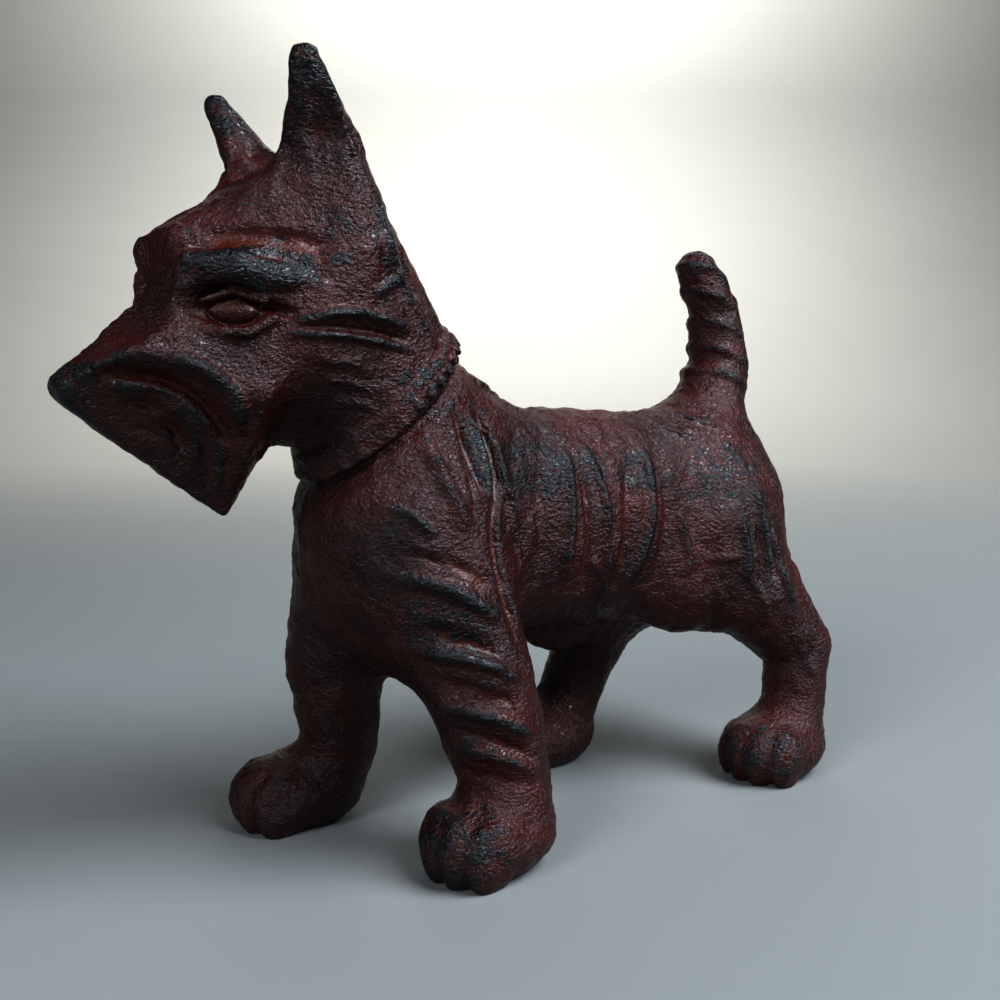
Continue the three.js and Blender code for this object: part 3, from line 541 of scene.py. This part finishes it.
HIND_CARVING = [
    Stroke([65.4, 49.4], [68, 44], [67, 37], 1.3, 0.9),
    Stroke([69, 55.6], [74, 46], [70, 33], 1.4, 1.0),
    Stroke([73.6, 47.4], [75.6, 38], [76, 28], 1.4, 0.9),
    Stroke([69.6, 48], [71.4, 41], [70, 33], 1.2, -0.7),
    Stroke([60, 46], [61.6, 39], [58.6, 33], 1.9, -0.8),
    Stroke([57.6, 42.6], [62, 41], [66, 42.2], 1.3, 0.6),
    *between([[62, 37], [64.6, 33], [66, 28.6]], [[80, 41], [82.4, 34], [84, 27]], 4, 1.3, 0.6),
    *between([[72, 64], [77, 58], [79, 50]], [[80, 59], [83, 53], [84.4, 46]], 3, 1.4, 0.45),
    Stroke([79, 24], [80.4, 21], [81.6, 17.4], 1.1, 0.5),
]
TAIL_CARVING = [
    *between([[69, 77.6], [76, 76.6], [84, 72.4]], [[66, 98], [72, 97.4], [79, 94]], 5, 1.5, 0.6),
]

# The legs' carving follows each leg: it is drawn on the left legs and shifted to the right ones
FORE_SHIFT = -13.5
HIND_SHIFT = -26
RIGHT_PLAINER = 0.6  # how much shallower the right legs' carving is
MIDDLE_FADE = (0.8, 3.0)  # the face's and trunk's carving fades out this near the middle
INNER_FADE = (12, 19)  # and the legs' carving on their inner sides
LEG_LEVELS = (46, 26)  # from the trunk down to where the legs are free


def total(strokes, y, z):
    """How far all these strokes together lift the skin."""
    flat = np.stack([y, z], 1)
    low = np.min([one.low for one in strokes], 0)
    high = np.max([one.high for one in strokes], 0)
    near = np.flatnonzero(((flat > low) & (flat < high)).all(1))
    result = np.zeros(len(flat))
    result[near] = sum(one.lift(flat[near]) for one in strokes)
    return result


def carving(points):
    """How far the carving lifts the skin, in millimetres."""
    x, y, z = points.T
    side = rise(*MIDDLE_FADE, np.abs(x))
    outer = rise(*INNER_FADE, np.abs(x))
    right = np.where(x < 0, rise(*LEG_LEVELS, z), 0)
    trunk_cut = side * (total(FACE_CARVING, y, z) + total(TRUNK_CARVING, y, z))
    fore_cut = total(FORE_CARVING, y - FORE_SHIFT * right, z)
    hind_cut = total(HIND_CARVING, y - HIND_SHIFT * right, z)
    legs_cut = outer * (fore_cut + hind_cut) * (1 - RIGHT_PLAINER * right)
    return FUR_DEPTH * (trunk_cut + legs_cut + total(TAIL_CARVING, y, z))


# Unevenness of the casting: for each size of lump, waves that cross in many directions
LUMPS = [(7.0, 0.10), (3.0, 0.055), (1.5, 0.03)]  # breadth and height
LUMP_SPREAD = (0.75, 1.3)  # of the breadths
WAVES = 14
SEED = 7
INSET = 0.2  # how deep the skin lies under its plain form, to leave room for the lumps

# The eye and its lids, red and smoother than the rest: a middle, radii and a strength
SMOOTH = [([10.4, -29.6, 83.2], [4.4, 8, 4.4], 0.9)]


def make_waves():
    random = np.random.default_rng(SEED)
    waves = []
    for size, height in LUMPS:
        heading = random.normal(size=(WAVES, 3))
        heading /= np.linalg.norm(heading, axis=1)[:, None]
        pitch = size * random.uniform(*LUMP_SPREAD, WAVES)
        start = random.uniform(0, 2 * math.pi, WAVES)
        waves.append((heading * (2 * math.pi / pitch)[:, None], start, height * math.sqrt(2 / WAVES)))
    return waves


CAST_WAVES = make_waves()
PATCH_FADE = (1.25, 0.6)  # where a patch ends and where it is full, as shares of its radii


def patchwork(points, patches):
    """Strength of the strongest patch at each point."""
    strengths = [np.zeros(len(points))]
    for middle, radii, strength in patches:
        gap = length((points - np.array(middle)) / np.array(radii))
        strengths.append(strength * rise(*PATCH_FADE, gap))
    return np.maximum.reduce(strengths)


def unevenness(points):
    waves = sum(height * np.sin(points @ heading.T + start).sum(1) for heading, start, height in CAST_WAVES)
    return waves * (1 - patchwork(mirrored(points), SMOOTH))


# The whole figure
head = make_head()
body = make_body()


def bare(points):
    return blend(body(points), head(points), NECK_SOFT) + collar(points)


def stud_places():
    """Places round the collar where its skin is crossed by rays from its middle."""
    turn = STUD_PITCH / NECK_RADIUS
    count = round(STUDDED * 2 * math.pi / turn)
    angles = math.pi + (np.arange(count) - (count - 1) / 2) * turn
    outward = np.outer(np.cos(angles), COLLAR_FORWARD) + np.outer(np.sin(angles), [1, 0, 0])
    low = np.zeros(count)
    high = np.full(count, COLLAR_REACH + REACH_FADE)
    for _ in range(HALVINGS):
        middle = (low + high) / 2
        inside = bare(COLLAR_MIDDLE + outward * middle[:, None]) < 0
        low = np.where(inside, middle, low)
        high = np.where(inside, high, middle)
    return COLLAR_MIDDLE + outward * low[:, None] + COLLAR_AXIS * STUD_DROP, outward


STUDS, STUD_OUTWARD = stud_places()


def studs(points):
    """Distance from the nearest stud: a ring on the skin of the collar, flat and worn towards the throat."""
    radius = STUD_DIAMETER / 2 - STUD_WIRE
    rings = []
    for place, outward in zip(STUDS, STUD_OUTWARD):
        away = points - place + outward * (STUD_WIRE - STUD_PROUD)
        height = away @ outward
        across = length(away - height[:, None] * outward)
        wear = STUD_WEAR * rise(*WEAR_LIMITS, outward @ COLLAR_FORWARD)
        rings.append(np.hypot(across - radius, height) - STUD_WIRE + wear)
    return np.minimum.reduce(rings)


def dog(points):
    skin = bare(points) - carving(points) - unevenness(points) + INSET
    away = points - COLLAR_MIDDLE
    near = np.flatnonzero((np.abs(away @ COLLAR_AXIS) < STUD_DIAMETER) & (length(away) < COLLAR_REACH))
    if len(near):
        skin[near] = blend(skin[near], studs(points[near]), STUD_SOFT)
    return np.maximum(skin, SOLES - points[:, 2])


# Skin: only the cells near the surface are kept, each halved again and again down to the finest size
KEY_SPAN = 4096  # more than the cells along any axis
LOW_CORNER = np.array([-31, -56, SOLES - 3.5])
HIGH_CORNER = np.array([31, 102, EAR_TOP + 3])
CUBE = np.array([[i, j, k] for k in (0, 1) for j in (0, 1) for i in (0, 1)])


def cells_near_skin(form, cell):
    size = 2 ** FIRST_HALVINGS
    counts = np.ceil((HIGH_CORNER - LOW_CORNER) / (cell * size)).astype(int)
    cells = np.stack(np.meshgrid(*(np.arange(n) for n in counts), indexing="ij"), -1).reshape(-1, 3) * size
    while True:
        depth = form(LOW_CORNER + (cells + size / 2) * cell)
        cells = cells[np.abs(depth) < CELL_REACH * size * cell + MARGIN]
        if size == 1:
            return cells
        size //= 2
        cells = (cells[:, None] + CUBE * size).reshape(-1, 3)


def key_of(cells):
    return (cells[:, 0] * KEY_SPAN + cells[:, 1]) * KEY_SPAN + cells[:, 2]


def skin_of(form, cell):
    """Points and four-sided faces where the distance is zero, one point for each cell that it crosses."""
    cells = cells_near_skin(form, cell)
    keys, where = np.unique(key_of((cells[:, None] + CUBE).reshape(-1, 3)), return_inverse=True)
    corners = np.stack([keys // KEY_SPAN ** 2, keys // KEY_SPAN % KEY_SPAN, keys % KEY_SPAN], 1)
    depth = form(LOW_CORNER + corners * cell)[where].reshape(-1, 8)
    crossed = (depth < 0).any(1) & (depth >= 0).any(1)
    cells, depth = cells[crossed], depth[crossed]
    order = np.argsort(key_of(cells))
    cells, depth = cells[order], depth[order]
    sum_of_cuts = np.zeros((len(cells), 3))
    cuts = np.zeros(len(cells))
    for axis in range(3):
        step = 1 << axis
        for a in range(8):
            if a & step:
                continue
            first, second = depth[:, a], depth[:, a | step]
            cut = (first < 0) != (second < 0)
            t = np.where(cut, first / np.where(cut, first - second, 1), 0)
            place = CUBE[a] + t[:, None] * CUBE[step]
            sum_of_cuts += place * cut[:, None]
            cuts += cut
    points = LOW_CORNER + (cells + sum_of_cuts / cuts[:, None]) * cell
    keys = key_of(cells)
    faces = []
    for axis in range(3):
        first, second = depth[:, 0], depth[:, 1 << axis]
        u, v = CUBE[1 << (axis + 1) % 3], CUBE[1 << (axis + 2) % 3]
        for inside_first in (True, False):
            cut = ((first < 0) == inside_first) & ((second < 0) != inside_first)
            corner = cells[cut]
            ring = [corner, corner - u, corner - u - v, corner - v]
            if not inside_first:
                ring = ring[::-1]
            places = [np.searchsorted(keys, key_of(one)) for one in ring]
            faces.append(np.stack(places, 1))
    return points, np.concatenate(faces)


# Four ways out from a point, to the corners of a tetrahedron
CORNERS = np.array([[1, 1, 1], [1, -1, -1], [-1, 1, -1], [-1, -1, 1]])
STEP = 0.02
LEAST_STEEPNESS = 0.1
LONGEST_MOVE = 0.4


def depth_and_slope(form, points):
    around = [form(points + corner * STEP) for corner in CORNERS]
    slope = np.stack(around, 1) @ CORNERS / (4 * STEP)
    return sum(around) / 4, slope


def drawn_onto(form, points, rounds=2):
    """Moves points along the slope of the distance onto the skin itself."""
    for _ in range(rounds):
        depth, slope = depth_and_slope(form, points)
        steepness = np.maximum(np.einsum("ij,ij->i", slope, slope), LEAST_STEEPNESS)
        points = points - slope * np.clip(depth / steepness, -LONGEST_MOVE, LONGEST_MOVE)[:, None]
    return points


def make_mesh(name, points, faces):
    mesh = bpy.data.meshes.new(name)
    mesh.vertices.add(len(points))
    mesh.vertices.foreach_set("co", points.ravel())
    mesh.loops.add(faces.size)
    mesh.loops.foreach_set("vertex_index", faces.ravel())
    mesh.polygons.add(len(faces))
    mesh.polygons.foreach_set("loop_start", np.arange(0, faces.size, faces.shape[1]))
    mesh.update(calc_edges=True)
    mesh.polygons.foreach_set("use_smooth", np.ones(len(mesh.polygons), bool))
    piece = bpy.data.objects.new(name, mesh)
    bpy.context.scene.collection.objects.link(piece)
    return piece


def thinned(piece, most):
    """Closes up edges until no more than this many triangles are left."""
    triangles = 2 * len(piece.data.polygons)
    if triangles > most:
        fewer = piece.modifiers.new("fewer", "DECIMATE")
        fewer.ratio = most / triangles
        evaluated = piece.evaluated_get(bpy.context.evaluated_depsgraph_get())
        lean = bpy.data.meshes.new_from_object(evaluated)
        piece.modifiers.clear()
        piece.data = lean
    return piece


def make_dog():
    points, faces = skin_of(dog, CELL)
    points = drawn_onto(dog, points)
    points[:, 2] = np.maximum(points[:, 2], SOLES)
    low, high = np.array(cad_box) / MM
    middle = (points.min(0) + points.max(0)) / 2
    shift = np.array([(low[0] + high[0]) / 2 - middle[0], (low[1] + high[1]) / 2 - middle[1], -SOLES])
    piece = thinned(make_mesh("terrier_figure", (points + shift) * MM, faces), MOST_TRIANGLES)
    add_wear(piece.data, shift)
    return piece


# Wear: how much black is left on each point of the skin, and how much rust shows.
# Each patch of it is a middle, radii and a strength, and lies on both sides of the dog.
PATCHES = [
    ([12.6, 21, 60], [7, 11, 5.6], 0.75),
    ([12.4, 34.4, 60], [6, 3.4, 4], 0.8),
    ([12.4, 44, 58.6], [6, 5.6, 4], 0.7),
    ([14, 64, 57], [7, 12, 7], 0.6),
    ([15, 70, 50], [7, 7, 9], 0.45),
    ([15, 8.6, 64], [7, 4, 8.4], 0.75),
    ([15, -8, 51], [7, 5, 5.6], 0.5),
    ([12.6, -28, 89.2], [6, 12, 3.4], 0.95),
    ([14, -16.4, 93.6], [5, 4, 5], 0.55),
    ([14, -8.6, 94], [5, 2.6, 10], 0.6),
    ([13, -5.4, 88.6], [5, 3.6, 3.4], 0.7),
    ([14, -19.8, 115], [5, 4.4, 4.6], 0.6),
    ([14.4, -0.4, 73.4], [5, 6, 6], 0.6),
    ([3, -49.6, 73], [6, 4, 5], 0.6),
    ([20, -2, 38], [9, 8, 6], 0.6),
    ([19, 2, 21], [9, 9, 3.6], 0.4),
    ([20, -1, 4], [9, 9, 8], 0.75),
    ([20, 71, 4], [9, 7, 6], 0.5),
    ([0, 75, 96], [7, 7, 6], 0.35),
]
RUSTY = [
    ([13, -26, 93], [6, 9, 3], 0.9),
    ([9, -38, 74], [7, 8, 2.2], 0.5),
    ([9.6, -42, 80.6], [5, 4, 2.4], 0.5),
    ([8, -28, 62], [8, 6, 9], 0.5),
    ([14, 60, 66], [12, 20, 6], 0.35),
    ([14, 3, 44], [9, 7, 3], 0.5),
    ([10.4, -29.6, 83.2], [4.4, 7.4, 3.6], 0.8),
]
RIDGE_REACH = 0.8  # how far beside a point the skin is felt for narrow ridges
SWELL_REACH = 2.2  # and for broad swellings
SLANT = [0.3, 0.6, 0.74]  # any slanting direction, to find the ways aside from


def bulge(points, normals, reach):
    """How strongly the skin bulges, felt at four points beside each point: negative in a hollow."""
    first = np.cross(normals, unit(SLANT))
    first /= length(first)[:, None]
    second = np.cross(normals, first)
    aside = [first, -first, second, -second]
    return sum(dog(points + way * reach) for way in aside) / (4 * reach)


def add_wear(mesh, shift):
    """Gives each point of the mesh how raised and how sunk it is, for the paint to follow."""
    count = len(mesh.vertices)
    flat = np.empty(count * 3)
    mesh.vertices.foreach_get("co", flat)
    points = flat.reshape(-1, 3) / MM - shift
    depth, normals = depth_and_slope(dog, points)
    normals /= length(normals)[:, None]
    points = points - normals * depth[:, None]
    ridge = bulge(points, normals, RIDGE_REACH)
    swell = bulge(points, normals, SWELL_REACH)
    lift = carving(points)
    folded = mirrored(points)
    raised = 0.4 * rise(0.02, 0.25, ridge) + 0.25 * rise(0.0, 0.3, swell) + 0.5 * rise(0.1, 1.0, lift)
    raised += patchwork(folded, PATCHES)
    raised *= 1 - patchwork(folded, SMOOTH)
    sunk = 0.6 * rise(0.0, -0.2, ridge) + 0.6 * rise(-0.1, -0.7, lift) + patchwork(folded, RUSTY)
    for name, values in (("raised", raised), ("sunk", sunk)):
        layer = mesh.attributes.new(name, "FLOAT", "POINT")
        layer.data.foreach_set("value", np.clip(values, 0, 1.5).astype(np.float32))


terrier = make_dog()
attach(terrier, "root")
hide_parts("terrier_dog")


# Material
def graph_of(name):
    """A new material, with a function that adds a node and one that joins two sockets."""
    material = bpy.data.materials.new(name)
    material.use_nodes = True
    tree = material.node_tree

    def add(kind, settings=None, **inputs):
        node = tree.nodes.new(kind)
        for key, value in (settings or {}).items():
            setattr(node, key, value)
        for key, value in inputs.items():
            socket = node.inputs[int(key[1:])] if key[0] == "_" else node.inputs[key.replace("_", " ")]
            if isinstance(value, bpy.types.NodeSocket):
                tree.links.new(value, socket)
            else:
                socket.default_value = value
        return node
    return material, tree, add


OXBLOOD = (0.056, 0.0075, 0.005, 1)
OXBLOOD_DEEP = (0.026, 0.0035, 0.0025, 1)
# Black paint of the raised fur, tinted blue: the blue is a painted reflection of a blue sky
BLACK_WITH_BLUE_SHEEN = (0.0055, 0.006, 0.008, 1)
RUST = (0.07, 0.014, 0.006, 1)

# Fineness of the paint's changes, per metre
BROAD_SCALE = 70
BLOTCH_SCALE = 330
SPECK_SCALE = 850
GRAIN_SCALE = 1600
GRAIN_STRETCH = (1, 0.75, 1.25)  # the grain runs a little longer from nose to tail
GRAIN_DEPTH = 0.00016
COAT_DEPTH = 0.00005  # thickness of the black over the red
BLOTCHES = 2.4  # how strongly blotches break up the black
SPECKS = 2.6  # and the specks
ROUGHNESS = 0.18


def make_iron():
    material, tree, add = graph_of("oxblood_iron")
    shader = tree.nodes["Principled BSDF"]
    place = add("ShaderNodeTexCoord").outputs["Object"]
    stretched = add("ShaderNodeMapping", _0=place, _3=GRAIN_STRETCH).outputs[0]

    def noise(scale, detail, vector=place, roughness=0.5):
        node = add("ShaderNodeTexNoise", Vector=vector, Scale=scale, Detail=detail, Roughness=roughness)
        return node.outputs["Fac"]

    def math_of(operation, a, b):
        return add("ShaderNodeMath", {"operation": operation}, _0=a, _1=b).outputs[0]

    def ramp(value, low, high):
        settings = {"interpolation_type": "SMOOTHSTEP"}
        return add("ShaderNodeMapRange", settings, _0=value, _1=low, _2=high, _3=0.0, _4=1.0).outputs[0]

    def mixed(share, a, b):
        node = add("ShaderNodeMix", {"data_type": "RGBA"}, _0=share, _6=a, _7=b)
        return node.outputs[2]

    raised = add("ShaderNodeAttribute", {"attribute_name": "raised"}).outputs["Fac"]
    sunk = add("ShaderNodeAttribute", {"attribute_name": "sunk"}).outputs["Fac"]
    broad = noise(BROAD_SCALE, 3)
    patchy = noise(BLOTCH_SCALE, 4, roughness=0.65)
    speck = noise(SPECK_SCALE, 3, stretched)
    grain = noise(GRAIN_SCALE, 3, stretched, 0.6)

    # Black stays on what stands out, broken up by blotches and by the grain
    blotches = math_of("MULTIPLY", math_of("SUBTRACT", patchy, 0.5), BLOTCHES)
    specks = math_of("MULTIPLY", math_of("SUBTRACT", speck, 0.5), SPECKS)
    dabbed = math_of("ADD", raised, math_of("ADD", blotches, specks))
    black = math_of("MULTIPLY", ramp(dabbed, 0.4, 1.0), 0.93)
    rusted = math_of("ADD", sunk, math_of("MULTIPLY", math_of("SUBTRACT", patchy, 0.5), 1.2))
    rust = math_of("MULTIPLY", ramp(rusted, 0.35, 1.2), 0.8)

    colour = mixed(ramp(broad, 0.35, 0.68), OXBLOOD_DEEP, OXBLOOD)
    colour = mixed(math_of("MULTIPLY", ramp(speck, 0.55, 0.75), 0.35), colour, RUST)
    colour = mixed(rust, colour, RUST)
    # the black paint, whose blue tint is a painted reflection of a blue sky
    colour = mixed(black, colour, BLACK_WITH_BLUE_SHEEN)
    tree.links.new(colour, shader.inputs["Base Color"])

    rough = math_of("ADD", ROUGHNESS, math_of("MULTIPLY", patchy, 0.2))
    rough = math_of("ADD", rough, math_of("MULTIPLY", rust, 0.1))
    rough = math_of("SUBTRACT", rough, math_of("MULTIPLY", black, 0.08))
    tree.links.new(rough, shader.inputs["Roughness"])

    # The grain is worn smooth in the rusty hollows
    skin = math_of("ADD", ramp(grain, 0.32, 0.68), math_of("MULTIPLY", speck, 0.9))
    skin = math_of("MULTIPLY", skin, math_of("SUBTRACT", 1.0, math_of("MULTIPLY", rust, 0.7)))
    fine = add("ShaderNodeBump", Strength=1.0, Distance=GRAIN_DEPTH, Height=skin)
    coats = add("ShaderNodeBump", Strength=0.4, Distance=COAT_DEPTH, Height=black, Normal=fine.outputs[0])
    tree.links.new(coats.outputs[0], shader.inputs["Normal"])
    shader.inputs["Specular IOR Level"].default_value = 0.5
    return material


terrier.data.materials.clear()
terrier.data.materials.append(make_iron())


# Stage: a pale floor that runs up into a pale wall, in metres
NEAR_REACH = 1.5  # from the figure to the floor's near edge
WALL = 0.9  # from the figure to the foot of the sweep
SWEEP = 0.5  # radius of the sweep from floor to wall
SWEEP_STEPS = 16
WALL_HEIGHT = 2.0
WALL_REACH = 3.0  # half the width of floor and wall
FLOOR_DARK = (0.2, 0.2, 0.195, 1)
FLOOR_PALE = (0.23, 0.23, 0.225, 1)


def make_floor():
    """A floor that curves up into a wall behind the figure."""
    profile = [(-NEAR_REACH, 0.0)]
    for i in range(SWEEP_STEPS + 1):
        angle = i / SWEEP_STEPS * math.pi / 2
        profile.append((WALL + SWEEP * math.sin(angle), SWEEP * (1 - math.cos(angle))))
    profile.append((WALL + SWEEP, WALL_HEIGHT))
    back = Vector((AIM[0], AIM[1], 0)).normalized()
    aside = Vector((-back.y, back.x, 0))
    corners = []
    for out, up in profile:
        for way in (-1, 1):
            corners.append(back * out + aside * way * WALL_REACH + Vector((0, 0, up)))
    faces = [(2 * i, 2 * i + 1, 2 * i + 3, 2 * i + 2) for i in range(len(profile) - 1)]
    mesh = bpy.data.meshes.new("floor")
    mesh.from_pydata(corners, [], faces)
    mesh.polygons.foreach_set("use_smooth", [True] * len(faces))
    floor = bpy.data.objects.new("floor", mesh)
    bpy.context.scene.collection.objects.link(floor)
    material, tree, add = graph_of("floor")
    shader = tree.nodes["Principled BSDF"]
    mottle = add("ShaderNodeTexNoise", Scale=9, Detail=3).outputs["Fac"]
    tint = add("ShaderNodeMix", {"data_type": "RGBA"}, _0=mottle, _6=FLOOR_DARK, _7=FLOOR_PALE)
    tree.links.new(tint.outputs[2], shader.inputs["Base Color"])
    shader.inputs["Roughness"].default_value = 0.7
    mesh.materials.append(material)


# Light: each lamp's place, the place it shines at, its size, power, colour and spread
LAMPS = {
    "sky": ((0.52, 0.32, 0.68), (0, 0, 0.05), 0.7, 23, (0.82, 0.92, 1), math.pi),
    "front": ((0.25, -0.75, 0.5), (0, 0, 0.06), 0.45, 8, (0.84, 0.93, 1), math.pi),
    "wall": ((-0.7, 0.55, 1.3), (-1.15, 0.88, 0.6), 0.8, 38, (1, 0.98, 0.92), math.radians(135)),
}
WORLD_TINT = (0.86, 0.92, 1, 1)
WORLD_STRENGTH = 0.08
CONTRAST_GAMMA = 0.65


def make_light(name, place, target, size, power, tint, spread):
    light = bpy.data.lights.new(name, "AREA")
    light.shape = "DISK"
    light.size = size
    light.energy = power
    light.color = tint
    light.spread = spread
    lamp = bpy.data.objects.new(name, light)
    lamp.location = place
    lamp.rotation_euler = (Vector(target) - Vector(place)).to_track_quat("-Z", "Y").to_euler()
    bpy.context.scene.collection.objects.link(lamp)


def make_world():
    world = bpy.data.worlds.new("studio")
    bpy.context.scene.world = world
    world.use_nodes = True
    background = world.node_tree.nodes["Background"]
    background.inputs["Color"].default_value = WORLD_TINT
    background.inputs["Strength"].default_value = WORLD_STRENGTH


# The photograph's view, in metres and in pixels of a picture 1000 wide
CAMERA = (0.146, -0.1077, 0.0752)
AIM = (-0.8, 0.6)
PITCH = math.radians(6)
FOCAL = 1050
PICTURE = 1000
PAN = 5
SENSOR = 36
NEAREST = 0.01


def make_camera():
    camera = bpy.data.cameras.new("camera")
    camera.sensor_width = SENSOR
    camera.lens = SENSOR * FOCAL / PICTURE
    camera.clip_start = NEAREST
    eye = bpy.data.objects.new("camera", camera)
    bpy.context.scene.collection.objects.link(eye)
    turn = math.atan2(AIM[1], AIM[0]) - PAN / FOCAL
    forward = Vector((math.cos(turn) * math.cos(PITCH), math.sin(turn) * math.cos(PITCH), -math.sin(PITCH)))
    eye.location = CAMERA
    eye.rotation_euler = forward.to_track_quat("-Z", "Y").to_euler()
    bpy.context.scene.camera = eye


make_floor()
make_world()
for lamp_name, settings in LAMPS.items():
    make_light(lamp_name, *settings)
make_camera()
bpy.context.scene.view_settings.view_transform = "Standard"
bpy.context.scene.view_settings.gamma = CONTRAST_GAMMA
